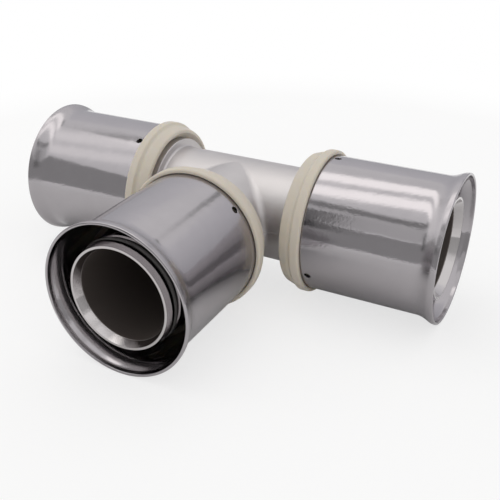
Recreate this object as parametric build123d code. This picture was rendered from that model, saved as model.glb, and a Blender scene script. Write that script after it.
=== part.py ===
from build123d import *
import os
from math import cos, radians, sin, tan

# A press tee for 50 mm multilayer pipe, in millimetres.
# The origin is where the three axes cross. The run lies along X, the branch points along -Y.
# Inside a leg, "in" is the distance from the sleeve's mouth towards the crossing.

# The pipe that goes in
pipe_outer_radius = 25.0
pipe_wall = 4.5
pipe_gap_in_sleeve = 0.4
pipe_gap_on_spigot = 0.35
socket_depth = 50.6  # mouth to the pipe's stop, which is the ring's front face

# Press sleeve: stainless tube, flared at the mouth
sleeve_wall = 1.1
flare_rise = 2.05  # the rim's largest radius over the tube's
flare_angle = 26.0
flare_bend_radius = 5.0  # outside, where the tube bends out
lip_angle = 8.0
lip_length = 1.95
lip_bend_radius = 2.4  # inside, where the flare bends back to the lip
rim_rounding = 0.45
sleeve_end_rounding = 0.3
sleeve_grip = 3.2  # how far the sleeve goes into the ring

# Inspection holes, which show whether the pipe is fully in
hole_count = 3
hole_radius = 1.3
hole_to_ring = 2.4

# Spigot: the part of the body that goes inside the pipe
spigot_recess = 2.35  # the spigot's end lies this far inside the mouth
spigot_wall = 2.9
end_face_width = 0.82
lead_in_depth = 0.9
lead_in_length = 2.0
end_bevel_length = 3.6
neck_wall = 1.9

# O-rings
o_ring_section = 2.1
o_ring_proud = 0.15
o_ring_side_gap = 0.6
o_ring_floor_gap = 0.04
groove_rear_bevel = 0.45
tip_land = 1.25
inner_o_ring_in = 21.2  # middle of the second groove, from the mouth

# Teeth that hold the pipe: each ramp rises away from the mouth and drops at its back
tooth_pitch = 2.25
tooth_depth = 0.9
tooth_land = 0.6
rib_width = 1.9
stop_land = 6.0  # plain stretch before the pipe's stop

# Retaining ring: ivory plastic
ring_lip_wall = 1.7  # round the sleeve's end
ring_flange_width = 3.4
ring_step_height = 1.3
ring_step_width = 1.0
ring_step_rounding = 1.2
ring_shoulder_width = 1.2
ring_shoulder_rounding = 2.4
ring_back_drop = 1.1
ring_back_slope = 3.4
ring_back_rounding = 1.1
ring_back_land = 1.23  # the back face, between its rounded edge's corner and the inner bevel
ring_edge_rounding = 0.9
ring_web = 2.8
sleeve_slot_gap = 0.1
ring_front_bevel = 0.35

# The body's seat for the ring: a snap rib, a groove and a collar
snap_rib_height = 1.35
snap_rib_width = 1.1
ring_bore_gap = 0.12
ring_side_gap = 0.08
collar_height = 2.25  # above the spigot
collar_proud = 1.05  # how far the collar stands out behind the ring
collar_rounding = 0.35
collar_blend_radius = 0.8  # at the neck
plain_neck = 5.1  # straight stretch between the collar's blend and the crotch's
crotch_radius = 3.5
branch_neck_step = 0.15  # the branch's neck is this much thinner than the run's

cut_past = 1.0  # how far a cut runs past the surface it opens

# Worked out from the sizes above
sleeve_inner_radius = pipe_outer_radius + pipe_gap_in_sleeve
sleeve_outer_radius = sleeve_inner_radius + sleeve_wall
spigot_radius = pipe_outer_radius - pipe_wall - pipe_gap_on_spigot
bore_radius = spigot_radius - spigot_wall
neck_radius = bore_radius + neck_wall
o_ring_floor_radius = spigot_radius + o_ring_proud - o_ring_section
o_ring_groove_width = o_ring_section + 2 * o_ring_side_gap
tooth_root_radius = spigot_radius - tooth_depth
tip_o_ring_in = spigot_recess + lead_in_length + tip_land + o_ring_groove_width / 2
snap_rib_radius = spigot_radius + snap_rib_height
slot_inner_radius = sleeve_inner_radius - sleeve_slot_gap
slot_outer_radius = sleeve_outer_radius + sleeve_slot_gap
ring_flange_radius = slot_outer_radius + ring_lip_wall
ring_shoulder_radius = ring_flange_radius - ring_step_height
ring_back_radius = ring_shoulder_radius - ring_back_drop
ring_step_end = ring_flange_width + ring_step_width
ring_width = ring_step_end + ring_shoulder_width + ring_back_slope
collar_radius = spigot_radius + collar_height
web_front = socket_depth + snap_rib_width + ring_side_gap
web_back = web_front + ring_web
collar_front = web_back + ring_side_gap
collar_back = socket_depth + ring_width + collar_proud
ring_bore_radius = tooth_root_radius + ring_bore_gap
collar_bore_radius = collar_radius + ring_bore_gap
ring_bevel = ring_back_radius - ring_back_land - collar_bore_radius
slot_floor = socket_depth + sleeve_grip
crotch_reach = neck_radius + crotch_radius
leg_length = crotch_reach + plain_neck + collar_blend_radius + collar_back


def section(corners):
    """The half section through these corners, each a (radius, distance along the leg, rounding)."""
    face = make_face(Polyline(*[(r, z) for r, z, rounding in corners], close=True))
    for r, z, rounding in corners:
        if rounding > 0:
            corner = face.vertices().sort_by_distance((r, z, 0))[0]
            face = fillet(corner, rounding)
    return face


def turned(corners):
    """A solid turned round Z from its half section."""
    return revolve(Plane.XZ * section(corners), axis=Axis.Z)


def leg_plane(towards, right_hand):
    """A leg's own frame: Z points out of the mouth, Y is up, X is to the right of who looks in."""
    return Plane(origin=(0, 0, 0), x_dir=right_hand, z_dir=towards)


# Each leg: its frame, and the angle of its first inspection hole, counted anticlockwise from the
# right as seen from outside the mouth
legs = {
    "left": (leg_plane((-1, 0, 0), (0, -1, 0)), 65.0),
    "right": (leg_plane((1, 0, 0), (0, 1, 0)), 86.4),
    "branch": (leg_plane((0, -1, 0), (1, 0, 0)), 42.7),
}


def press_sleeve(first_hole):
    """A tube of even wall, flared at the mouth to a steeper lip, with inspection holes near the ring."""
    lean = radians(flare_angle)
    lip_lean = radians(lip_angle)
    rounding_loss = rim_rounding * (1 - sin(lip_lean) - cos(lip_lean))
    rim_radius = sleeve_outer_radius + flare_rise - rounding_loss
    rim_z = leg_length - sleeve_wall * sin(lip_lean)
    lip_radius = rim_radius - lip_length * tan(lip_lean)
    lip_z = rim_z - lip_length
    bend_z = lip_z - (lip_radius - sleeve_outer_radius) / tan(lean)
    inner_bend_z = bend_z + sleeve_wall * tan(lean / 2)
    middle_lean = (lean + lip_lean) / 2
    offset = sleeve_wall / cos((lean - lip_lean) / 2)
    inner_lip_radius = lip_radius - offset * cos(middle_lean)
    inner_lip_z = lip_z + offset * sin(middle_lean)
    end_z = leg_length - slot_floor + sleeve_slot_gap
    tube = turned(
        [
            (sleeve_inner_radius, end_z, 0),
            (sleeve_outer_radius, end_z, sleeve_end_rounding),
            (sleeve_outer_radius, bend_z, flare_bend_radius),
            (lip_radius, lip_z, lip_bend_radius + sleeve_wall),
            (rim_radius, rim_z, rim_rounding),
            (rim_radius - sleeve_wall * cos(lip_lean), leg_length, rim_rounding),
            (inner_lip_radius, inner_lip_z, lip_bend_radius),
            (sleeve_inner_radius, inner_bend_z, flare_bend_radius + sleeve_wall),
        ]
    )
    hole_z = leg_length - socket_depth + hole_to_ring
    middle_radius = (sleeve_inner_radius + sleeve_outer_radius) / 2
    drill_length = sleeve_wall + 2 * cut_past
    drill = Pos(middle_radius, 0, hole_z) * Rot(0, 90, 0) * Cylinder(hole_radius, drill_length)
    for i in range(hole_count):
        tube -= Rot(0, 0, first_hole + i * 360 / hole_count) * drill
    return tube


def retaining_ring():
    """A snap ring with a slot for the sleeve's end, a web for the body's groove and a rounded back."""
    front = leg_length - socket_depth
    back = front - ring_width
    step = front - ring_flange_width
    shoulder = front - ring_step_end
    floor = leg_length - slot_floor
    rib_bore = snap_rib_radius + ring_bore_gap
    return turned(
        [
            (rib_bore, front, 0),
            (slot_inner_radius, front, 0),
            (slot_inner_radius, floor, 0),
            (slot_outer_radius, floor, 0),
            (slot_outer_radius, front - ring_front_bevel, 0),
            (slot_outer_radius + ring_front_bevel, front, 0),
            (ring_flange_radius, front, ring_edge_rounding),
            (ring_flange_radius, step, ring_edge_rounding),
            (ring_shoulder_radius, shoulder, ring_step_rounding),
            (ring_shoulder_radius, back + ring_back_slope, ring_shoulder_rounding),
            (ring_back_radius, back, ring_back_rounding),
            (collar_bore_radius + ring_bevel, back, 0),
            (collar_bore_radius, back + ring_bevel, 0),
            (collar_bore_radius, leg_length - web_back, 0),
            (ring_bore_radius, leg_length - web_back, 0),
            (ring_bore_radius, leg_length - web_front, 0),
            (rib_bore, leg_length - web_front, 0),
        ]
    )


def o_ring(middle_in):
    """A round-section ring in its groove."""
    section_radius = o_ring_section / 2
    ring_radius = o_ring_floor_radius + section_radius
    return Pos(0, 0, leg_length - middle_in) * Torus(ring_radius, section_radius - o_ring_floor_gap)


def o_ring_groove(middle_in):
    """Corners of a square groove, from its mouth side inwards, with a bevel at its rear edge."""
    near = leg_length - middle_in + o_ring_groove_width / 2
    far = near - o_ring_groove_width
    return [
        (spigot_radius, near, 0),
        (o_ring_floor_radius, near, 0),
        (o_ring_floor_radius, far, 0),
        (spigot_radius - groove_rear_bevel, far, 0),
        (spigot_radius, far - groove_rear_bevel, 0),
    ]


def teeth(first_in, last_in):
    """Corners of a row of equal teeth that fills the stretch between two distances from the mouth."""
    count = int((last_in - first_in) / tooth_pitch)
    pitch = (last_in - first_in) / count
    corners = []
    for i in range(count):
        start = leg_length - first_in - i * pitch
        ramp_end = start - pitch + tooth_land
        corners += [
            (spigot_radius, start, 0),
            (tooth_root_radius, start, 0),
            (spigot_radius, ramp_end, 0),
        ]
    return corners


def leg_blank(leg_neck_radius):
    """One leg before boring: spigot, snap rib, ring groove, collar and neck, turned round Z."""
    tip = leg_length - spigot_recess
    snap_rib = leg_length - socket_depth
    rear = leg_length - collar_back
    groove_half = o_ring_groove_width / 2
    first_teeth_in = tip_o_ring_in + groove_half + rib_width
    second_teeth_in = inner_o_ring_in + groove_half + rib_width
    corners = [
        (0, tip, 0),
        (spigot_radius - lead_in_depth, tip, 0),
        (spigot_radius, tip - lead_in_length, 0),
    ]
    corners += o_ring_groove(tip_o_ring_in)
    corners += teeth(first_teeth_in, inner_o_ring_in - groove_half - rib_width)
    corners += o_ring_groove(inner_o_ring_in)
    corners += teeth(second_teeth_in, socket_depth - stop_land)
    corners += [
        (spigot_radius, snap_rib, 0),
        (snap_rib_radius, snap_rib - snap_rib_width / 2, 0),
        (snap_rib_radius, snap_rib - snap_rib_width, 0),
        (tooth_root_radius, snap_rib - snap_rib_width, 0),
        (tooth_root_radius, leg_length - collar_front, 0),
        (collar_radius, leg_length - collar_front, 0),
        (collar_radius, rear, collar_rounding),
        (leg_neck_radius, rear, collar_blend_radius),
        (leg_neck_radius, 0, 0),
        (0, 0, 0),
    ]
    return turned(corners)


def leg_bore():
    """What is bored out of one leg: the flow way and the wide bevel at the spigot's end."""
    tip = leg_length - spigot_recess
    mouth_radius = spigot_radius - lead_in_depth - end_face_width
    return turned(
        [
            (0, tip + cut_past, 0),
            (mouth_radius, tip + cut_past, 0),
            (mouth_radius, tip, 0),
            (bore_radius, tip - end_bevel_length, 0),
            (bore_radius, 0, 0),
            (0, 0, 0),
        ]
    )


def tee_body():
    """Three turned legs joined at the crossing, with a soft crotch, then bored through."""
    run = [legs[side][0] * leg_blank(neck_radius) for side in ("left", "right")]
    branch = legs["branch"][0] * leg_blank(neck_radius - branch_neck_step)
    body = run[0] + run[1] + branch
    turned_edges = (GeomType.LINE, GeomType.CIRCLE)
    crotch = [edge for edge in body.edges() if edge.geom_type not in turned_edges]
    body = fillet(crotch, crotch_radius)
    for plane, _ in legs.values():
        body -= plane * leg_bore()
    return body


os.makedirs("parts", exist_ok=True)
export_step(tee_body(), "parts/tee_body.step")
for side, (plane, first_hole) in legs.items():
    export_step(plane * press_sleeve(first_hole), f"parts/press_sleeve_{side}.step")
    export_step(plane * retaining_ring(), f"parts/retaining_ring_{side}.step")
    export_step(plane * o_ring(tip_o_ring_in), f"parts/tip_o_ring_{side}.step")
    export_step(plane * o_ring(inner_o_ring_in), f"parts/inner_o_ring_{side}.step")
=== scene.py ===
import math

import bmesh
import bpy
from bpy.props import FloatProperty, FloatVectorProperty, IntProperty, PointerProperty
from mathutils import Euler, Matrix, Vector


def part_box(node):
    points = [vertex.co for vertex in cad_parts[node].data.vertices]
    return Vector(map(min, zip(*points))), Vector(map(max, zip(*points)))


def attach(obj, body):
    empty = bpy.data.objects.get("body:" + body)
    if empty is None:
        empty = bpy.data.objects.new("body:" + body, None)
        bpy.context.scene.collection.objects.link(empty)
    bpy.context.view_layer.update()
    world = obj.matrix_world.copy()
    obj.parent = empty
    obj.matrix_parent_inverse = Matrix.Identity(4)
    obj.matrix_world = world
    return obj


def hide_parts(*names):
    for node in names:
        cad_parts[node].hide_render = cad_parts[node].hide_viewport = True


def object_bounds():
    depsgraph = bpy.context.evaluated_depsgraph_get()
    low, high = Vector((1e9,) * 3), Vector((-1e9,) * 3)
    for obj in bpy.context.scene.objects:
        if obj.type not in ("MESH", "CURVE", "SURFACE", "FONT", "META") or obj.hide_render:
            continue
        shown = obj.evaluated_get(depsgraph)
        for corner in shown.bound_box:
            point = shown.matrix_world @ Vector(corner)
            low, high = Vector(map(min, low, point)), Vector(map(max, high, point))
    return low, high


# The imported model, loaded before anything else so that sizes can come from it
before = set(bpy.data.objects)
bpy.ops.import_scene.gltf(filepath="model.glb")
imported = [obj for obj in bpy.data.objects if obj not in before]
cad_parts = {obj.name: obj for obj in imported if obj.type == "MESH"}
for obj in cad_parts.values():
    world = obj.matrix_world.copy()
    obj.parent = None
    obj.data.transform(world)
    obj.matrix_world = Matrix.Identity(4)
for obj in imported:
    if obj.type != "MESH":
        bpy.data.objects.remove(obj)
cad_low, cad_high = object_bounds()

bl_info = {
    "name": "Press Tee",
    "version": (1, 0, 0),
    "blender": (4, 5, 0),
    "location": "3D View > Sidebar > Press Tee",
    "description": "A press tee: flared steel sleeves, ivory rings, rubber seals and a tinned body",
    "category": "Object",
}

MM = 0.001

# Each leg: its direction out of the mouth, the direction to the right as one looks into the mouth, and
# the angle of the sleeve's first inspection hole, anticlockwise from that right
LEGS = {
    "left": (Vector((-1, 0, 0)), Vector((0, -1, 0)), math.radians(65.0)),
    "right": (Vector((1, 0, 0)), Vector((0, 1, 0)), math.radians(86.4)),
    "branch": (Vector((0, -1, 0)), Vector((1, 0, 0)), math.radians(42.7)),
}

# The steps that an outline's arc takes
ARC_STEP = math.radians(9)
# Steps of an eased bend, and how many times further along its sides it reaches than an arc would
EASED_STEPS = 20
EASED_REACH = 2.6

# Steps round a turned piece, a seal, a seal's section and a drill
PIECE_TURNS = 256
SEAL_TURNS = 160
SECTION_STEPS = 24
DRILL_TURNS = 48

# Steps along each side of a card, and round the floor
CARD_STEPS = 24
FLOOR_STEPS = 96

# Edges that turn by more than this stay sharp
SHARP_EDGE = math.radians(30)

# Soft boxes: name, how far their middle lies towards the back left, their length and width, and how far
# from their middle the bulb sits towards the back right, all in lamp heights
SOFT_BOXES = (
    ("Near soft box", 0.115, (2.15, 0.25), 0.55),
    ("Far soft box", 0.53, (2.15, 0.29), 0.8),
)
# How far both boxes sit towards the front left, in lamp heights
BOXES_FORWARD = 0.725
# Where a box's glow starts to fade and where it stops fading, in lamp heights from its bulb, and the
# share of the glow that is left there
GLOW_FADE = (0.3, 0.6)
GLOW_AT_END = 0.36

# Glowing cards round the tee that only gloss sees, painted reflections: name, turns from straight ahead
# towards the right and heights over the horizon in degrees, distance in millimetres, colours at the foot
# and at the top. The pale ones stand for the room's walls, and the others for what stands or hangs before
# them
CARDS = (
    ("Low front card", (-75, 60), (-6, 23.6), 280, "#AFAFAF", "#AFAFAF"),
    ("High front card", (-35, 60), (25, 56), 800, "#DCDCDC", "#DCDCDC"),
    ("Dark bar", (-42, 10), (46.8, 54), 700, "#9C9C9C", "#9C9C9C"),
    ("Dark stand", (-16, -5), (14, 42), 224, "#3A3A3A", "#3A3A3A"),
    ("Right card", (60, 105), (-6, 20), 280, "#C4C4C4", "#C4C4C4"),
    ("Back card", (110, 250), (-3, 38), 900, "#B9B9BE", "#F2F2F5"),
    ("Ceiling seam", (167, 174.5), (32, 42), 850, "#989898", "#989898"),
    ("Second ceiling seam", (236, 256), (49.5, 54.5), 850, "#A0A0A0", "#A0A0A0"),
)


# Colours

WHITE = (1.0, 1.0, 1.0, 1.0)


def linear(hex_colour):
    """The linear colour of an sRGB hex value."""
    channels = [int(hex_colour[i:i + 2], 16) / 255 for i in (1, 3, 5)]
    return [c / 12.92 if c <= 0.04045 else ((c + 0.055) / 1.055) ** 2.4 for c in channels]


def rgba(colour, share=1.0):
    """A colour as a node takes it, made darker or lighter by a share."""
    return (*(min(1.0, c * share) for c in colour), 1.0)


# Kinds of setting

def length(name, description, millimetres):
    """A length setting, given in millimetres and kept in metres."""
    return FloatProperty(
        name=name, description=description, default=millimetres * MM, unit="LENGTH", precision=5
    )


def colour(name, description, hex_colour):
    """A colour setting, given in sRGB hex and kept linear."""
    return FloatVectorProperty(
        name=name, description=description, default=linear(hex_colour),
        subtype="COLOR", size=3, min=0, max=1,
    )


def angle(name, description, degrees):
    """An angle setting, given in degrees and kept in radians."""
    return FloatProperty(name=name, description=description, default=math.radians(degrees), subtype="ANGLE")


# Settings

class SleeveSettings(bpy.types.PropertyGroup):
    """The three stainless press sleeves."""

    bore_radius: length("Bore radius", "Inside radius of the tube", 25.4)
    wall: length("Wall", "Thickness of the tube", 1.1)
    mouth: length("Mouth", "From the ring's front face to the mouth", 50.6)
    grip: length("Grip", "How far the sleeve's end sits inside the ring", 3.1)
    flare_rise: length("Flare rise", "How far the rim stands out from the tube", 2.05)
    flare_angle: angle("Flare angle", "Lean of the flare's cone", 26)
    flare_bend: length("Flare bend", "Outside radius where the tube bends out", 5)
    lip_angle: angle("Lip angle", "Lean of the steeper lip at the mouth", 8)
    lip_length: length("Lip length", "Length of the lip along the axis", 1.95)
    lip_bend: length("Lip bend", "Inside radius where the flare bends back to the lip", 2.4)
    rim_rounding: length("Rim rounding", "Rounding of the rim's edges", 0.45)
    end_rounding: length("End rounding", "Rounding of the end that sits in the ring", 0.3)
    hole_radius: length("Hole radius", "Radius of an inspection hole", 1.3)
    hole_to_ring: length("Hole to ring", "Middle of a hole to the ring's front face", 2.4)
    hole_deburring: length("Deburring", "Width of the broken edge round a hole", 0.12)
    hole_count: IntProperty(name="Holes", description="Inspection holes in each sleeve", default=3, min=1)
    colour: colour("Steel", "Colour of the polished steel", "#ADA9AC")


class RingSettings(bpy.types.PropertyGroup):
    """The three ivory retaining rings."""

    flange_radius: length("Flange radius", "Radius of the ring's wide front", 28.3)
    flange_width: length("Flange width", "Width of the wide front", 3.4)
    step_height: length("Step height", "Drop from the flange to the shoulder", 1.3)
    step_width: length("Step width", "Length of the sloping step", 1.0)
    step_rounding: length("Step rounding", "Rounding at the foot of the step", 1.2)
    shoulder_rounding: length("Shoulder rounding", "Rounding of the shoulder into the back", 2.4)
    width: length("Width", "Front face to back face", 9.0)
    back_drop: length("Back drop", "How much the back is narrower than the shoulder", 1.1)
    back_slope: length("Back slope", "Length of the sloping back", 3.4)
    back_rounding: length("Back rounding", "Rounding of the back's outer edge", 1.1)
    bevel: length("Bevel", "Bevel round the collar", 2.15)
    edge_rounding: length("Edge rounding", "Rounding of the flange's edges", 0.9)
    web: length("Web", "Thickness of the web that sits in the body's groove", 2.8)
    slot_gap: length("Slot gap", "Room round the sleeve's end", 0.1)
    front_bevel: length("Front bevel", "Bevel at the slot's mouth", 0.35)
    collar_bore: length("Collar bore", "Radius of the bore round the body's collar", 22.52)
    rib_bore: length("Rib bore", "Radius of the bore round the body's snap rib", 21.62)
    web_bore: length("Web bore", "Radius of the bore in the body's groove", 19.37)
    web_front: length("Web front", "From the front face back to the web", 1.18)
    colour: colour("Ivory", "Colour of the moulded plastic", "#CDC5B9")


class SealSettings(bpy.types.PropertyGroup):
    """The six O-rings."""

    section: length("Section", "Diameter of the rubber's section", 2.02)
    ring_radius: length("Ring radius", "Radius of the ring along the middle of its section", 19.25)
    tip_depth: length("Tip depth", "From the mouth in to the tip's seal", 7.25)
    inner_depth: length("Inner depth", "From the mouth in to the second seal", 21.2)
    # The rubber's own dark colour, lifted to a lighter grey by a painted sheen for the grease
    colour: colour("Rubber", "Colour of the rubber", "#504E4D")


class BodySettings(bpy.types.PropertyGroup):
    """The tinned brass body."""

    tin: colour("Tin", "Colour of the tinned skin", "#C6C2C2")
    # The bore's colour is painted shade for the inside of the tube
    bore: colour("Bore", "Colour of the dull bore", "#5E5652")
    bore_radius: length("Bore radius", "Radius of the flow way", 17.25)
    bevel_start: length("Bevel start", "From the crossing to the inner edge of the spigot's bevel", 83.25)
    bevel_length: length("Bevel length", "Length of the bevel at the spigot's end", 3.6)
    bevel_radius: length("Bevel radius", "Outer radius of that bevel", 18.45)
    bevel_cup: angle("Bevel cup", "How much the bevel's face opens more than its cone", 8)
    parting_height: length("Parting height", "How far the parting line stands out", 0.12)
    parting_width: length("Parting width", "Width of the parting line", 0.5)
    spigot_start: length("Spigot start", "From the crossing to where the turned surfaces start", 36.0)


class StageSettings(bpy.types.PropertyGroup):
    """Floor, light and camera."""

    floor_colour: colour("Floor", "Colour of the floor", "#F8F8F8")
    floor_radius: length("Floor radius", "Radius of the floor", 3000)
    shadow_radius: length("Shadow radius", "How far from the middle the floor shows shadow", 200)
    shadow_veil: FloatProperty(name="Veil", description="Share of white over the shadow", default=0.7)
    lamp_height: length("Lamp height", "Height of the soft boxes over the floor", 900)
    lamp_colour: colour("Lamp colour", "Slightly warm white of the soft boxes", "#FFFCF6")
    box_turn: angle("Turn of the soft boxes", "From the run to their length, seen from above", 34.8)
    lamp_radiance: FloatProperty(name="Lamp radiance", description="Glow of the soft boxes", default=1.0)
    fill: FloatProperty(name="Fill", description="Brightness of the room's diffuse light", default=0.8)
    camera_azimuth: angle("Camera azimuth", "Turn of the camera round the vertical", 28.8933)
    camera_elevation: angle("Camera elevation", "Height of the camera over the horizon", 28.4782)
    camera_roll: angle("Camera roll", "Lean of the camera", -0.4647)
    camera_distance: length("Camera distance", "From the camera to the point it looks at", 322.763)
    camera_lens: FloatProperty(name="Lens", description="Focal length", default=55.976, unit="CAMERA")
    camera_shift: FloatVectorProperty(
        name="Shift",
        description="Sideways and upward shift that the photograph's framing needs",
        default=(0.04907, 0.01934),
        size=2,
    )
    camera_aim: FloatVectorProperty(
        name="Aim",
        description="The point that the camera looks at",
        default=(-0.086 * MM, -12.795 * MM, -20.573 * MM),
        subtype="TRANSLATION",
    )


# Places

def leg_matrix(side):
    """A leg's own frame: its origin is the middle of the ring's front face, Z points out of the mouth."""
    out, right_hand, _ = LEGS[side]
    low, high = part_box(f"retaining_ring_{side}")
    far = high if sum(out) > 0 else low
    origin = Vector([f * abs(o) for f, o in zip(far, out)])
    up = out.cross(right_hand)
    turn = Matrix((right_hand, up, out)).transposed()
    return Matrix.Translation(origin) @ turn.to_4x4()


# Shapes

def flare(s):
    """(Radius, z) on a sleeve's outside where it bends out, where its lip starts, and at its rim."""
    outer = s.bore_radius + s.wall
    rounding_loss = s.rim_rounding * (1 - math.sin(s.lip_angle) - math.cos(s.lip_angle))
    rim = outer + s.flare_rise - rounding_loss
    rim_z = s.mouth - s.wall * math.sin(s.lip_angle)
    lip = rim - s.lip_length * math.tan(s.lip_angle)
    lip_z = rim_z - s.lip_length
    bend_z = lip_z - (lip - outer) / math.tan(s.flare_angle)
    return (outer, bend_z), (lip, lip_z), (rim, rim_z)


def rounded(corners, eased=()):
    """The outline through (radius, z, rounding) corners, with an arc at each rounded one.

    The corners whose numbers are in eased get a longer bend instead, which tightens little by little as
    drawn metal does, so that reflections flow through it.
    """
    points = []
    for i, (r, z, rounding) in enumerate(corners):
        corner = Vector((r, z))
        if rounding == 0:
            points.append(corner)
            continue
        before = (Vector(corners[i - 1][:2]) - corner).normalized()
        after = (Vector(corners[(i + 1) % len(corners)][:2]) - corner).normalized()
        half = before.angle(after) / 2
        if i in eased:
            points += eased_bend(corner, before, after, EASED_REACH * rounding / math.tan(half))
            continue
        centre = corner + (before + after).normalized() * rounding / math.sin(half)
        start = corner + before * rounding / math.tan(half) - centre
        sweep = (math.pi - 2 * half) * (1 if before.cross(after) < 0 else -1)
        steps = max(2, round(abs(sweep) / ARC_STEP))
        for k in range(steps + 1):
            points.append(centre + Matrix.Rotation(sweep * k / steps, 2) @ start)
    return points


def eased_bend(corner, before, after, reach):
    """A smooth curve round a corner, from a reach before it to a reach after it."""
    guides = [corner + before * reach, corner + before * reach / 2, corner]
    guides += [corner + after * reach / 2, corner + after * reach]
    degree = len(guides) - 1
    points = []
    for k in range(EASED_STEPS + 1):
        t = k / EASED_STEPS
        shares = [math.comb(degree, j) * t ** j * (1 - t) ** (degree - j) for j in range(len(guides))]
        points.append(sum((g * w for g, w in zip(guides, shares)), Vector((0, 0))))
    return points


def turned_mesh(name, outline, turns=PIECE_TURNS):
    """A closed (radius, z) outline turned once round Z."""
    mesh = bpy.data.meshes.new(name)
    bm = bmesh.new()
    rings = []
    for k in range(turns):
        a = 2 * math.pi * k / turns
        rings.append([bm.verts.new((p.x * math.cos(a), p.x * math.sin(a), p.y)) for p in outline])
    count = len(outline)
    for k in range(turns):
        this, following = rings[k], rings[(k + 1) % turns]
        for i in range(count):
            j = (i + 1) % count
            bm.faces.new((this[i], following[i], following[j], this[j]))
    bmesh.ops.recalc_face_normals(bm, faces=bm.faces)
    bm.to_mesh(mesh)
    bm.free()
    return mesh


def place(mesh, side, node, material):
    """Stands a leg's mesh where its CAD node is, with normals that follow the large faces."""
    mesh.shade_smooth()
    mesh.set_sharp_from_angle(angle=SHARP_EDGE)
    piece = bpy.data.objects.new(mesh.name, mesh)
    bpy.context.scene.collection.objects.link(piece)
    piece.matrix_world = leg_matrix(side)
    normals = piece.modifiers.new("True normals", "WEIGHTED_NORMAL")
    normals.keep_sharp = True
    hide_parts(node)
    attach(piece, "root")
    mesh.materials.clear()
    mesh.materials.append(material)


# Node trees

def add(tree, kind, settings=None, **inputs):
    """A node with its settings.

    An input goes by its socket's name, or by _ and the socket's number. It is a value, or another node's
    output to link.
    """
    node = tree.nodes.new(kind)
    for key, value in (settings or {}).items():
        setattr(node, key, value)
    for key, value in inputs.items():
        socket = node.inputs[int(key[1:])] if key[1:].isdigit() else node.inputs[key.replace("_", " ")]
        if isinstance(value, bpy.types.NodeSocket):
            tree.links.new(value, socket)
        else:
            socket.default_value = value
    return node


def new_material(name):
    """An empty material, its tree, and the object's own coordinates in millimetres."""
    material = bpy.data.materials.new(name)
    material.use_nodes = True
    tree = material.node_tree
    tree.nodes.clear()
    point = add(tree, "ShaderNodeTexCoord").outputs["Object"]
    scaled = add(tree, "ShaderNodeVectorMath", {"operation": "SCALE"}, _0=point, Scale=1 / MM)
    return material, tree, scaled.outputs["Vector"]


def seen(tree):
    """1 for rays from the camera, and for those that a shiny or clear surface sends on."""
    path = add(tree, "ShaderNodeLightPath")
    direct = add(
        tree, "ShaderNodeMath", {"operation": "MAXIMUM"},
        _0=path.outputs["Is Camera Ray"], _1=path.outputs["Is Glossy Ray"],
    )
    return add(
        tree, "ShaderNodeMath", {"operation": "MAXIMUM"},
        _0=direct.outputs[0], _1=path.outputs["Is Transmission Ray"],
    ).outputs[0]


# Materials. Sizes and depths of their patterns are in millimetres

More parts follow.
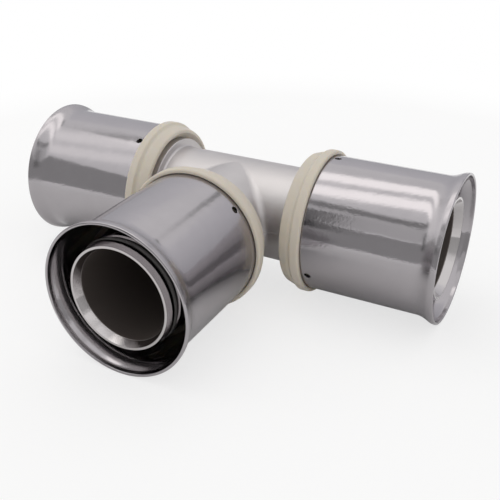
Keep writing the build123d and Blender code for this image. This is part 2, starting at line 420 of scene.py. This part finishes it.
def drawn_stainless(settings):
    """Stainless steel tube, drawn and then polished while it turned.

    The polishing leaves fine lines round the tube, so bright bands stay crisp across it and smear along it.
    The drawing leaves a faint orange peel, which breaks up the edges of reflections.
    """
    material, tree, mm = new_material("Drawn stainless steel")

    # The dimples of the orange peel are deep only in patches
    dimple, dimple_depth, patch = 0.9, 0.034, 14
    peel = add(tree, "ShaderNodeTexNoise", Vector=mm, Scale=1 / dimple, Detail=2.0, Roughness=0.5)
    patches = add(tree, "ShaderNodeTexNoise", Vector=mm, Scale=1 / patch, Detail=2.0)
    deep = add(
        tree, "ShaderNodeMapRange", {"interpolation_type": "SMOOTHSTEP"},
        Value=patches.outputs["Fac"], From_Min=0.42, From_Max=0.62, To_Min=0.4, To_Max=1.0,
    )
    peeled = add(
        tree, "ShaderNodeBump",
        Strength=deep.outputs[0], Distance=dimple_depth * MM, Height=peel.outputs["Fac"],
    )
    # The wall is a few hundredths out of true
    wave, wave_depth = 6, 0.05
    waves = add(tree, "ShaderNodeTexNoise", Vector=mm, Scale=1 / wave, Detail=1.0)
    wavy = add(
        tree, "ShaderNodeBump",
        Strength=1.0, Distance=wave_depth * MM, Height=waves.outputs["Fac"], Normal=peeled.outputs[0],
    )

    # Clouds that rolling and handling left
    cloud, darkest, lightest = 9, 0.93, 1.06
    clouds = add(tree, "ShaderNodeTexNoise", Vector=mm, Scale=1 / cloud, Detail=4.0, Roughness=0.6)
    tone = add(
        tree, "ShaderNodeMix", {"data_type": "RGBA"},
        _0=clouds.outputs["Fac"], _6=rgba(settings.colour, darkest), _7=rgba(settings.colour, lightest),
    )
    gloss = add(
        tree, "ShaderNodeMapRange",
        Value=clouds.outputs["Fac"], From_Min=0.3, From_Max=0.7, To_Min=0.11, To_Max=0.15,
    )

    # Flaring stretched the outside most and left it duller, which starts a little before the bend's
    # corner. A line up the middle of the flare's wall tells outside from inside
    dull_from, dull_to, dulling = -2.7, 1.3, 0.09
    (outer, bend_z), _, _ = flare(settings)
    x, y, height = add(tree, "ShaderNodeSeparateXYZ", _0=mm).outputs
    flat = add(tree, "ShaderNodeCombineXYZ", X=x, Y=y)
    radius = add(tree, "ShaderNodeVectorMath", {"operation": "LENGTH"}, _0=flat.outputs[0])
    past_corner = add(
        tree, "ShaderNodeMath", {"operation": "SUBTRACT"}, _0=height, _1=bend_z / MM,
    )
    flaring = add(tree, "ShaderNodeMath", {"operation": "MAXIMUM"}, _0=past_corner.outputs[0], _1=0.0)
    middle = add(
        tree, "ShaderNodeMath", {"operation": "MULTIPLY_ADD"},
        _0=flaring.outputs[0], _1=math.tan(settings.flare_angle), _2=(outer - settings.wall / 2) / MM,
    )
    outside = add(
        tree, "ShaderNodeMath", {"operation": "GREATER_THAN"},
        _0=radius.outputs["Value"], _1=middle.outputs[0],
    )
    stretched = add(
        tree, "ShaderNodeMapRange", {"interpolation_type": "SMOOTHSTEP"},
        Value=past_corner.outputs[0], From_Min=dull_from, From_Max=dull_to, To_Min=0.0, To_Max=dulling,
    )
    dulled = add(
        tree, "ShaderNodeMath", {"operation": "MULTIPLY_ADD"},
        _0=outside.outputs[0], _1=stretched.outputs[0], _2=gloss.outputs[0],
    )

    # The tangent runs round the tube, as the lines do. A quarter turn makes gloss smear across them
    around = add(tree, "ShaderNodeTangent", {"direction_type": "RADIAL", "axis": "Z"})
    shader = add(
        tree, "ShaderNodeBsdfPrincipled",
        Base_Color=tone.outputs[2], Metallic=1.0, Roughness=dulled.outputs[0],
        Anisotropic=0.85, Anisotropic_Rotation=0.25, Tangent=around.outputs[0], Normal=wavy.outputs[0],
    )
    add(tree, "ShaderNodeOutputMaterial", Surface=shader.outputs[0])
    return material


def moulded_ivory(settings):
    """Ivory polyamide, injection moulded.

    Light enters it a little way, so thin edges glow warm. The mould leaves a fine satin skin with a few
    cloudy flow marks.
    """
    material, tree, mm = new_material("Moulded ivory polyamide")
    flow_mark, darkest, lightest = 6, (0.96, 0.95, 0.91), 1.03
    flow = add(
        tree, "ShaderNodeTexNoise",
        Vector=mm, Scale=1 / flow_mark, Detail=3.0, Roughness=0.55, Distortion=0.6,
    )
    tone = add(
        tree, "ShaderNodeMix", {"data_type": "RGBA"},
        _0=flow.outputs["Fac"],
        _6=rgba([c * share for c, share in zip(settings.colour, darkest)]),
        _7=rgba(settings.colour, lightest),
    )
    # The mould's satin grain, drawn a little coarser than life so that it shows
    grain_size, grain_depth = 0.35, 0.006
    grain = add(tree, "ShaderNodeTexNoise", Vector=mm, Scale=1 / grain_size, Detail=2.0)
    gloss = add(
        tree, "ShaderNodeMapRange",
        Value=grain.outputs["Fac"], From_Min=0.3, From_Max=0.7, To_Min=0.42, To_Max=0.52,
    )
    bump = add(
        tree, "ShaderNodeBump", Strength=1.0, Distance=grain_depth * MM, Height=grain.outputs["Fac"],
    )
    shader = add(
        tree, "ShaderNodeBsdfPrincipled",
        Base_Color=tone.outputs[2], Roughness=gloss.outputs[0], IOR=1.53, Normal=bump.outputs[0],
        Subsurface_Weight=0.35, Subsurface_Radius=(1.0, 0.62, 0.28), Subsurface_Scale=1.2 * MM,
    )
    add(tree, "ShaderNodeOutputMaterial", Surface=shader.outputs[0])
    return material


def moulded_rubber(settings):
    """Black EPDM rubber, moulded: a fine grain and a faint bloom, under grease for the pipe to slide on.
    Its colour is the rubber's own dark, lifted to a lighter grey by a painted sheen for the grease.
    """
    material, tree, mm = new_material("Moulded EPDM rubber")
    bloom_mark, lightest = 4, 1.7
    bloom = add(tree, "ShaderNodeTexNoise", Vector=mm, Scale=1 / bloom_mark, Detail=3.0)
    tone = add(
        tree, "ShaderNodeMix", {"data_type": "RGBA"},
        _0=bloom.outputs["Fac"], _6=rgba(settings.colour), _7=rgba(settings.colour, lightest),
    )
    grain_size, grain_depth = 0.2, 0.01
    grain = add(tree, "ShaderNodeTexNoise", Vector=mm, Scale=1 / grain_size, Detail=2.0)
    bump = add(
        tree, "ShaderNodeBump", Strength=1.0, Distance=grain_depth * MM, Height=grain.outputs["Fac"],
    )
    shader = add(
        tree, "ShaderNodeBsdfPrincipled",
        Base_Color=tone.outputs[2], Roughness=0.26, IOR=1.52, Normal=bump.outputs[0],
    )
    add(tree, "ShaderNodeOutputMaterial", Surface=shader.outputs[0])
    return material


def tinned_brass(settings):
    """Brass, hot pressed in a two-part die, turned at its ends and tinned all over.

    The pressed neck is soft and slightly grainy, with a thin parting line at mid height. The turned ends
    are brighter and carry fine rings. The bore is dull, and its darker colour is painted shade.
    """
    material, tree, mm = new_material("Tinned brass")
    x, y, z = add(tree, "ShaderNodeSeparateXYZ", _0=mm).outputs
    run = add(tree, "ShaderNodeMath", {"operation": "ABSOLUTE"}, _0=x).outputs[0]
    branch = add(tree, "ShaderNodeMath", {"operation": "MULTIPLY"}, _0=y, _1=-1.0).outputs[0]
    # Distance out along the nearest leg, and distance from that leg's axis
    along = add(tree, "ShaderNodeMath", {"operation": "MAXIMUM"}, _0=run, _1=branch).outputs[0]
    across = add(tree, "ShaderNodeMath", {"operation": "MINIMUM"}, _0=run, _1=branch).outputs[0]
    on_run = add(tree, "ShaderNodeMath", {"operation": "GREATER_THAN"}, _0=run, _1=branch)
    side = add(
        tree, "ShaderNodeMix", {"data_type": "FLOAT"}, _0=on_run.outputs[0], _2=across, _3=y,
    )
    flat = add(tree, "ShaderNodeCombineXYZ", X=side.outputs[0], Y=z)
    radius = add(tree, "ShaderNodeVectorMath", {"operation": "LENGTH"}, _0=flat.outputs[0]).outputs["Value"]

    # The turned ends start within half a millimetre. The bore's edge is a tenth wide, just off the wall
    turned_start = settings.spigot_start / MM
    bore_edge = settings.bore_radius / MM
    turned = add(
        tree, "ShaderNodeMapRange", {"interpolation_type": "SMOOTHSTEP"},
        Value=along, From_Min=turned_start - 0.5, From_Max=turned_start,
    ).outputs[0]
    in_bore = add(
        tree, "ShaderNodeMapRange", Value=radius, From_Min=bore_edge + 0.15, From_Max=bore_edge + 0.05,
    ).outputs[0]

    # Clouds in the tin, which show on the pressed neck
    cloud, darkest, lightest = 5, 0.94, 1.05
    clouds = add(tree, "ShaderNodeTexNoise", Vector=mm, Scale=1 / cloud, Detail=4.0, Roughness=0.6)
    tone = add(
        tree, "ShaderNodeMix", {"data_type": "RGBA"},
        _0=clouds.outputs["Fac"], _6=rgba(settings.tin, darkest), _7=rgba(settings.tin, lightest),
    )
    # Inside the bore the tin gives way to the bore's colour, painted shade
    toned = add(
        tree, "ShaderNodeMix", {"data_type": "RGBA"},
        _0=in_bore, _6=tone.outputs[2], _7=rgba(settings.bore),
    )
    # Roughness where it is turned and in the bore, which oxide dulls, so part of its look isn't metal; that
    # part shows the bore's colour, painted shade
    turned_roughness, bore_roughness, bore_metal = 0.1, 0.6, 0.5
    pressed_gloss = add(
        tree, "ShaderNodeMapRange",
        Value=clouds.outputs["Fac"], From_Min=0.3, From_Max=0.7, To_Min=0.4, To_Max=0.48,
    )
    outer_gloss = add(
        tree, "ShaderNodeMix", {"data_type": "FLOAT"},
        _0=turned, _2=pressed_gloss.outputs[0], _3=turned_roughness,
    )
    gloss = add(
        tree, "ShaderNodeMix", {"data_type": "FLOAT"},
        _0=in_bore, _2=outer_gloss.outputs[0], _3=bore_roughness,
    )
    metal = add(tree, "ShaderNodeMapRange", Value=in_bore, To_Min=1.0, To_Max=bore_metal)

    # The pressed skin's grain
    grain_size, grain_depth = 0.4, 0.012
    grain = add(tree, "ShaderNodeTexNoise", Vector=mm, Scale=1 / grain_size, Detail=2.0)
    pressed = add(tree, "ShaderNodeMath", {"operation": "SUBTRACT"}, _0=1.0, _1=turned)
    grainy = add(
        tree, "ShaderNodeBump",
        Strength=pressed.outputs[0], Distance=grain_depth * MM, Height=grain.outputs["Fac"],
    )
    # The turning tool's rings, coarser than life so that they show
    ring_pitch, ring_depth = 0.25, 0.0015
    travel = add(tree, "ShaderNodeMath", {"operation": "ADD"}, _0=along, _1=radius)
    wave = add(
        tree, "ShaderNodeMath", {"operation": "MULTIPLY"},
        _0=travel.outputs[0], _1=2 * math.pi / ring_pitch,
    )
    rings = add(tree, "ShaderNodeMath", {"operation": "SINE"}, _0=wave.outputs[0])
    ringed = add(
        tree, "ShaderNodeBump",
        Strength=turned, Distance=ring_depth * MM, Height=rings.outputs[0], Normal=grainy.outputs[0],
    )
    # The spigot's inner bevel is slightly cupped, which opens its reflections towards the mouth
    bevel_start = settings.bevel_start / MM
    bevel_end = bevel_start + settings.bevel_length / MM
    cup = add(
        tree, "ShaderNodeMapRange",
        Value=along, From_Min=bevel_start, From_Max=bevel_end, To_Min=1.0, To_Max=0.0,
    )
    on_bevel = add(
        tree, "ShaderNodeMath", {"operation": "LESS_THAN"}, _0=radius, _1=settings.bevel_radius / MM,
    )
    cupped = add(
        tree, "ShaderNodeBump",
        Strength=on_bevel.outputs[0], Distance=math.tan(settings.bevel_cup) * settings.bevel_length,
        Height=cup.outputs[0], Normal=ringed.outputs[0],
    )
    # The parting line: a low ridge at mid height
    height = add(tree, "ShaderNodeMath", {"operation": "ABSOLUTE"}, _0=z)
    ridge = add(
        tree, "ShaderNodeMapRange", {"interpolation_type": "SMOOTHSTEP"},
        Value=height.outputs[0], From_Min=settings.parting_width / MM, From_Max=0.0,
    )
    parted = add(
        tree, "ShaderNodeBump",
        Strength=pressed.outputs[0], Distance=settings.parting_height,
        Height=ridge.outputs[0], Normal=cupped.outputs[0],
    )
    shader = add(
        tree, "ShaderNodeBsdfPrincipled",
        Base_Color=toned.outputs[2], Metallic=metal.outputs[0], Roughness=gloss.outputs[0],
        Normal=parted.outputs[0],
    )
    add(tree, "ShaderNodeOutputMaterial", Surface=shader.outputs[0])
    return material


def white_sweep(settings):
    """Matt white card, as a studio sweep is made of, with the faint clouds of its fibres.

    Past the shadow, what looks at the floor sees plain white, as the backdrop is. Nearer the tee the camera
    sees part of that white, which makes the shadow fainter.
    """
    material, tree, mm = new_material("White card sweep")
    fibre, darkest = 2, 0.995
    fibres = add(tree, "ShaderNodeTexNoise", Vector=mm, Scale=1 / fibre, Detail=3.0)
    tone = add(
        tree, "ShaderNodeMix", {"data_type": "RGBA"},
        _0=fibres.outputs["Fac"],
        _6=rgba(settings.floor_colour, darkest), _7=rgba(settings.floor_colour),
    )
    paper = add(
        tree, "ShaderNodeBsdfPrincipled",
        Base_Color=tone.outputs[2], Roughness=0.9, Specular_IOR_Level=0.1,
    )
    # The white starts and is complete at these shares of the shadow's radius
    white_from, white_to = 0.6, 1.6
    shadow = settings.shadow_radius / MM
    reach = add(tree, "ShaderNodeVectorMath", {"operation": "LENGTH"}, _0=mm)
    beyond = add(
        tree, "ShaderNodeMapRange", {"interpolation_type": "SMOOTHSTEP"},
        Value=reach.outputs["Value"], From_Min=shadow * white_from, From_Max=shadow * white_to,
    )
    looked_at = add(tree, "ShaderNodeLightPath").outputs["Is Camera Ray"]
    veil = add(tree, "ShaderNodeMath", {"operation": "MULTIPLY"}, _0=looked_at, _1=settings.shadow_veil)
    white_share = add(
        tree, "ShaderNodeMath", {"operation": "MAXIMUM"}, _0=beyond.outputs[0], _1=veil.outputs[0],
    )
    share = add(
        tree, "ShaderNodeMath", {"operation": "MULTIPLY"}, _0=white_share.outputs[0], _1=seen(tree),
    )
    white = add(tree, "ShaderNodeEmission", Color=WHITE, Strength=1.0)
    mix = add(
        tree, "ShaderNodeMixShader", _0=share.outputs[0], _1=paper.outputs[0], _2=white.outputs[0],
    )
    add(tree, "ShaderNodeOutputMaterial", Surface=mix.outputs[0])
    return material


def glowing_reflection_card(name, low, high, foot, top):
    """A glowing sheet, a painted reflection, of one colour at the low height and another at the high one.
    """
    material, tree, mm = new_material(name)
    height = add(tree, "ShaderNodeSeparateXYZ", _0=mm).outputs["Z"]
    share = add(tree, "ShaderNodeMapRange", Value=height, From_Min=low / MM, From_Max=high / MM)
    tone = add(
        tree, "ShaderNodeMix", {"data_type": "RGBA"},
        _0=share.outputs[0], _6=rgba(linear(foot)), _7=rgba(linear(top)),
    )
    glow = add(tree, "ShaderNodeEmission", Color=tone.outputs[2], Strength=1.0)
    add(tree, "ShaderNodeOutputMaterial", Surface=glow.outputs[0])
    return material


# Operators

class PRESSTEE_OT_sleeves(bpy.types.Operator):
    """Model the press sleeves with their flared mouths and inspection holes"""

    bl_idname = "press_tee.sleeves"
    bl_label = "Press Sleeves"

    def outline(self, s):
        """The section of a tube of even wall, flared at the mouth to a steeper lip."""
        (outer, bend_z), (lip, lip_z), (rim, rim_z) = flare(s)
        inner_bend_z = bend_z + s.wall * math.tan(s.flare_angle / 2)
        middle_angle = (s.flare_angle + s.lip_angle) / 2
        offset = s.wall / math.cos((s.flare_angle - s.lip_angle) / 2)
        inner_lip = lip - offset * math.cos(middle_angle)
        inner_lip_z = lip_z + offset * math.sin(middle_angle)
        corners = [
            (s.bore_radius, -s.grip, 0),
            (outer, -s.grip, s.end_rounding),
            (outer, bend_z, s.flare_bend),
            (lip, lip_z, s.lip_bend + s.wall),
            (rim, rim_z, s.rim_rounding),
            (rim - s.wall * math.cos(s.lip_angle), s.mouth, s.rim_rounding),
            (inner_lip, inner_lip_z, s.lip_bend),
            (s.bore_radius, inner_bend_z, s.flare_bend + s.wall),
        ]
        # The bend out of the tube, on its outside and on its inside
        bend_corners = (2, 7)
        return rounded(corners, eased=bend_corners)

    def drill(self, s, first_hole):
        """The cutters of a sleeve's holes, each wider at the outside where the edge is broken."""
        outer = s.bore_radius + s.wall
        start, end = s.bore_radius - s.wall, outer + s.wall
        broken = outer - s.hole_deburring
        outline = [
            Vector((0, start)),
            Vector((s.hole_radius, start)),
            Vector((s.hole_radius, broken)),
            Vector((s.hole_radius + end - broken, end)),
            Vector((0, end)),
        ]
        cutters = bmesh.new()
        for k in range(s.hole_count):
            bit = turned_mesh("Drill", outline, DRILL_TURNS)
            turn = first_hole + 2 * math.pi * k / s.hole_count
            lay = Matrix.Rotation(turn, 4, "Z") @ Matrix.Rotation(math.radians(90), 4, "Y")
            bit.transform(Matrix.Translation((0, 0, s.hole_to_ring)) @ lay)
            cutters.from_mesh(bit)
            bpy.data.meshes.remove(bit)
        weld = 0.001 * MM
        bmesh.ops.remove_doubles(cutters, verts=cutters.verts, dist=weld)
        mesh = bpy.data.meshes.new("Drills")
        cutters.to_mesh(mesh)
        cutters.free()
        return mesh

    def execute(self, context):
        s = context.scene.press_sleeve
        steel = drawn_stainless(s)
        for side, (_, _, first_hole) in LEGS.items():
            name = f"sleeve_{side}"
            blank = bpy.data.objects.new("Blank", turned_mesh(name, self.outline(s)))
            drills = bpy.data.objects.new("Drills", self.drill(s, first_hole))
            for tool in (blank, drills):
                context.scene.collection.objects.link(tool)
            cut = blank.modifiers.new("Holes", "BOOLEAN")
            cut.operation = "DIFFERENCE"
            cut.solver = "EXACT"
            cut.object = drills
            context.view_layer.update()
            evaluated = blank.evaluated_get(context.evaluated_depsgraph_get())
            drilled = bpy.data.meshes.new_from_object(evaluated)
            for tool in (blank, drills):
                bpy.data.objects.remove(tool)
            drilled.name = name
            place(drilled, side, f"press_sleeve_{side}", steel)
        return {"FINISHED"}


class PRESSTEE_OT_rings(bpy.types.Operator):
    """Model the ivory rings that hold the sleeves"""

    bl_idname = "press_tee.rings"
    bl_label = "Retaining Rings"

    def outline(self, s, sleeve):
        """The section of a ring: a slot for the sleeve's end, a web for the groove, a rounded back."""
        slot_inner = sleeve.bore_radius - s.slot_gap
        slot_outer = sleeve.bore_radius + sleeve.wall + s.slot_gap
        floor = -sleeve.grip - s.slot_gap
        shoulder = s.flange_radius - s.step_height
        step = -s.flange_width
        return rounded([
            (s.rib_bore, 0, 0),
            (slot_inner, 0, 0),
            (slot_inner, floor, 0),
            (slot_outer, floor, 0),
            (slot_outer, -s.front_bevel, 0),
            (slot_outer + s.front_bevel, 0, 0),
            (s.flange_radius, 0, s.edge_rounding),
            (s.flange_radius, step, s.edge_rounding),
            (shoulder, step - s.step_width, s.step_rounding),
            (shoulder, s.back_slope - s.width, s.shoulder_rounding),
            (shoulder - s.back_drop, -s.width, s.back_rounding),
            (s.collar_bore + s.bevel, -s.width, 0),
            (s.collar_bore, s.bevel - s.width, 0),
            (s.collar_bore, -s.web_front - s.web, 0),
            (s.web_bore, -s.web_front - s.web, 0),
            (s.web_bore, -s.web_front, 0),
            (s.rib_bore, -s.web_front, 0),
        ])

    def execute(self, context):
        s = context.scene.press_ring
        ivory = moulded_ivory(s)
        for side in LEGS:
            mesh = turned_mesh(f"ring_{side}", self.outline(s, context.scene.press_sleeve))
            place(mesh, side, f"retaining_ring_{side}", ivory)
        return {"FINISHED"}


class PRESSTEE_OT_seals(bpy.types.Operator):
    """Model the O-rings in the spigots' grooves"""

    bl_idname = "press_tee.seals"
    bl_label = "O-Rings"

    def execute(self, context):
        s = context.scene.press_seal
        mouth = context.scene.press_sleeve.mouth
        radius = s.section / 2
        turns = [2 * math.pi * k / SECTION_STEPS for k in range(SECTION_STEPS)]
        rubber = moulded_rubber(s)
        for side in LEGS:
            for name, depth in (("tip", s.tip_depth), ("inner", s.inner_depth)):
                middle = Vector((s.ring_radius, mouth - depth))
                circle = [middle + Vector((math.cos(a), math.sin(a))) * radius for a in turns]
                mesh = turned_mesh(f"{name}_seal_{side}", circle, SEAL_TURNS)
                place(mesh, side, f"{name}_o_ring_{side}", rubber)
        return {"FINISHED"}


class PRESSTEE_OT_body(bpy.types.Operator):
    """Give the tee's body its tinned finish"""

    bl_idname = "press_tee.body"
    bl_label = "Tee Body"

    def execute(self, context):
        tin = tinned_brass(context.scene.press_body)
        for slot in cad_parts["tee_body"].material_slots:
            slot.material = tin
        return {"FINISHED"}


class PRESSTEE_OT_stage(bpy.types.Operator):
    """Lay the floor, hang the soft boxes and set the camera"""

    bl_idname = "press_tee.stage"
    bl_label = "Stage"

    def floor(self, context, s):
        """A round white floor under the tee."""
        mesh = bpy.data.meshes.new("floor")
        bm = bmesh.new()
        bmesh.ops.create_circle(bm, cap_ends=True, segments=FLOOR_STEPS, radius=s.floor_radius)
        bm.to_mesh(mesh)
        bm.free()
        sheet = bpy.data.objects.new("floor", mesh)
        sheet.location.z = cad_low.z
        context.scene.collection.objects.link(sheet)
        mesh.materials.append(white_sweep(s))

    def room(self, context, s):
        """A white room that lights the tee softly."""
        world = bpy.data.worlds.new("White room")
        world.use_nodes = True
        tree = world.node_tree
        tree.nodes.clear()
        strength = add(
            tree, "ShaderNodeMix", {"data_type": "FLOAT"}, _0=seen(tree), _2=s.fill, _3=1.0,
        )
        background = add(
            tree, "ShaderNodeBackground", Color=WHITE, Strength=strength.outputs[0],
        )
        add(tree, "ShaderNodeOutputWorld", Surface=background.outputs[0])
        context.scene.world = world

    def soft_box(self, context, s, name, middle, size, bulb):
        """A long flat lamp over the tee, brightest round its bulb and duller at its far ends."""
        light = bpy.data.lights.new(name, "AREA")
        light.shape = "RECTANGLE"
        light.size = size[0] * s.lamp_height
        light.size_y = size[1] * s.lamp_height
        light.color = s.lamp_colour
        light.energy = s.lamp_radiance * math.pi * light.size * light.size_y
        lamp = bpy.data.objects.new(name, light)
        back_left = Vector((-1, 1, 0)).normalized() * middle * s.lamp_height
        front_left = Vector((-1, -1, 0)).normalized() * s.lamp_height
        up = Vector((0, 0, s.lamp_height + cad_low.z))
        lamp.location = back_left + front_left * BOXES_FORWARD + up
        lamp.rotation_euler = Euler((0, 0, s.box_turn))
        lengthwise = Vector((math.cos(s.box_turn), math.sin(s.box_turn), 0))
        hot_spot = lamp.location + lengthwise * bulb * s.lamp_height
        light.use_nodes = True
        tree = light.node_tree
        tree.nodes.clear()
        point = add(tree, "ShaderNodeNewGeometry").outputs["Position"]
        away = add(tree, "ShaderNodeVectorMath", {"operation": "DISTANCE"}, _0=point, _1=hot_spot)
        fade_start, fade_end = GLOW_FADE
        glow = add(
            tree, "ShaderNodeMapRange", {"interpolation_type": "SMOOTHSTEP"},
            Value=away.outputs["Value"], From_Min=fade_start * s.lamp_height,
            From_Max=fade_end * s.lamp_height, To_Min=1.0, To_Max=GLOW_AT_END,
        )
        lit = add(tree, "ShaderNodeEmission", Strength=glow.outputs[0])
        add(tree, "ShaderNodeOutputLight", Surface=lit.outputs[0])
        lamp.visible_camera = False
        context.scene.collection.objects.link(lamp)

    def card(self, context, name, turns, heights, distance, foot, top):
        """A curved glowing card, a painted reflection that only gloss sees.

        It spans the given turns, from straight ahead towards the right, and the given heights over the
        horizon, all seen from the origin.
        """
        mesh = bpy.data.meshes.new(name)
        bm = bmesh.new()
        columns = []
        for k in range(CARD_STEPS + 1):
            turn = turns[0] + (turns[1] - turns[0]) * k / CARD_STEPS
            column = []
            for i in range(CARD_STEPS + 1):
                height = heights[0] + (heights[1] - heights[0]) * i / CARD_STEPS
                flat = Vector((math.sin(turn), -math.cos(turn), 0)) * math.cos(height)
                column.append(bm.verts.new((flat + Vector((0, 0, math.sin(height)))) * distance))
            columns.append(column)
        for left, right in zip(columns, columns[1:]):
            for i in range(CARD_STEPS):
                bm.faces.new((left[i], right[i], right[i + 1], left[i + 1]))
        bm.to_mesh(mesh)
        bm.free()
        low, high = (distance * math.sin(h) for h in heights)
        # The card's glowing material, a painted reflection
        mesh.materials.append(glowing_reflection_card(f"{name} paper", low, high, foot, top))
        sheet = bpy.data.objects.new(name, mesh)
        context.scene.collection.objects.link(sheet)
        sheet.visible_camera = False
        sheet.visible_diffuse = False
        sheet.visible_shadow = False

    def camera(self, context, s):
        """The camera, turned and raised round the point that it looks at."""
        data = bpy.data.cameras.new("Camera")
        data.lens = s.camera_lens
        data.sensor_width = 36.0
        data.shift_x, data.shift_y = s.camera_shift
        data.clip_start = 0.01
        data.clip_end = 20.0
        camera = bpy.data.objects.new("Camera", data)
        turn = Matrix.Rotation(s.camera_azimuth, 4, "Z")
        tilt = Matrix.Rotation(math.radians(90) - s.camera_elevation, 4, "X")
        roll = Matrix.Rotation(s.camera_roll, 4, "Z")
        back = Matrix.Translation((0, 0, s.camera_distance))
        camera.matrix_world = Matrix.Translation(s.camera_aim) @ turn @ tilt @ roll @ back
        context.scene.collection.objects.link(camera)
        context.scene.camera = camera

    def execute(self, context):
        s = context.scene.press_stage
        self.floor(context, s)
        self.room(context, s)
        # Two long boxes side by side leave a thin darker line between their reflections
        for box in SOFT_BOXES:
            self.soft_box(context, s, *box)
        for name, turns, heights, distance, foot, top in CARDS:
            turns = [math.radians(a) for a in turns]
            heights = [math.radians(a) for a in heights]
            self.card(context, name, turns, heights, distance * MM, foot, top)
        self.camera(context, s)
        context.scene.view_settings.view_transform = "Standard"
        return {"FINISHED"}


class PRESSTEE_PT_panel(bpy.types.Panel):
    """The tee's settings and steps"""

    bl_idname = "PRESSTEE_PT_panel"
    bl_label = "Press Tee"
    bl_space_type = "VIEW_3D"
    bl_region_type = "UI"
    bl_category = "Press Tee"

    def draw(self, context):
        """Each group of settings in a box, with the button of its step under it."""
        for group, operator in STEPS:
            box = self.layout.box()
            settings = getattr(context.scene, group)
            for key in settings.__annotations__:
                box.prop(settings, key)
            box.operator(operator)


GROUPS = {
    "press_sleeve": SleeveSettings,
    "press_ring": RingSettings,
    "press_seal": SealSettings,
    "press_body": BodySettings,
    "press_stage": StageSettings,
}

# In the order of the work: a group of settings and the operator that uses them
STEPS = (
    ("press_body", "press_tee.body"),
    ("press_sleeve", "press_tee.sleeves"),
    ("press_ring", "press_tee.rings"),
    ("press_seal", "press_tee.seals"),
    ("press_stage", "press_tee.stage"),
)

CLASSES = (
    *GROUPS.values(),
    PRESSTEE_OT_body,
    PRESSTEE_OT_sleeves,
    PRESSTEE_OT_rings,
    PRESSTEE_OT_seals,
    PRESSTEE_OT_stage,
    PRESSTEE_PT_panel,
)


def register():
    """Makes the classes and the scene's settings known to Blender."""
    for cls in CLASSES:
        bpy.utils.register_class(cls)
    for name, group in GROUPS.items():
        setattr(bpy.types.Scene, name, PointerProperty(type=group))


def unregister():
    """Takes them away again."""
    for name in GROUPS:
        delattr(bpy.types.Scene, name)
    for cls in reversed(CLASSES):
        bpy.utils.unregister_class(cls)


def main():
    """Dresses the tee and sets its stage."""
    register()
    bpy.ops.press_tee.body()
    bpy.ops.press_tee.sleeves()
    bpy.ops.press_tee.rings()
    bpy.ops.press_tee.seals()
    bpy.ops.press_tee.stage()


if __name__ == "__main__":
    main()
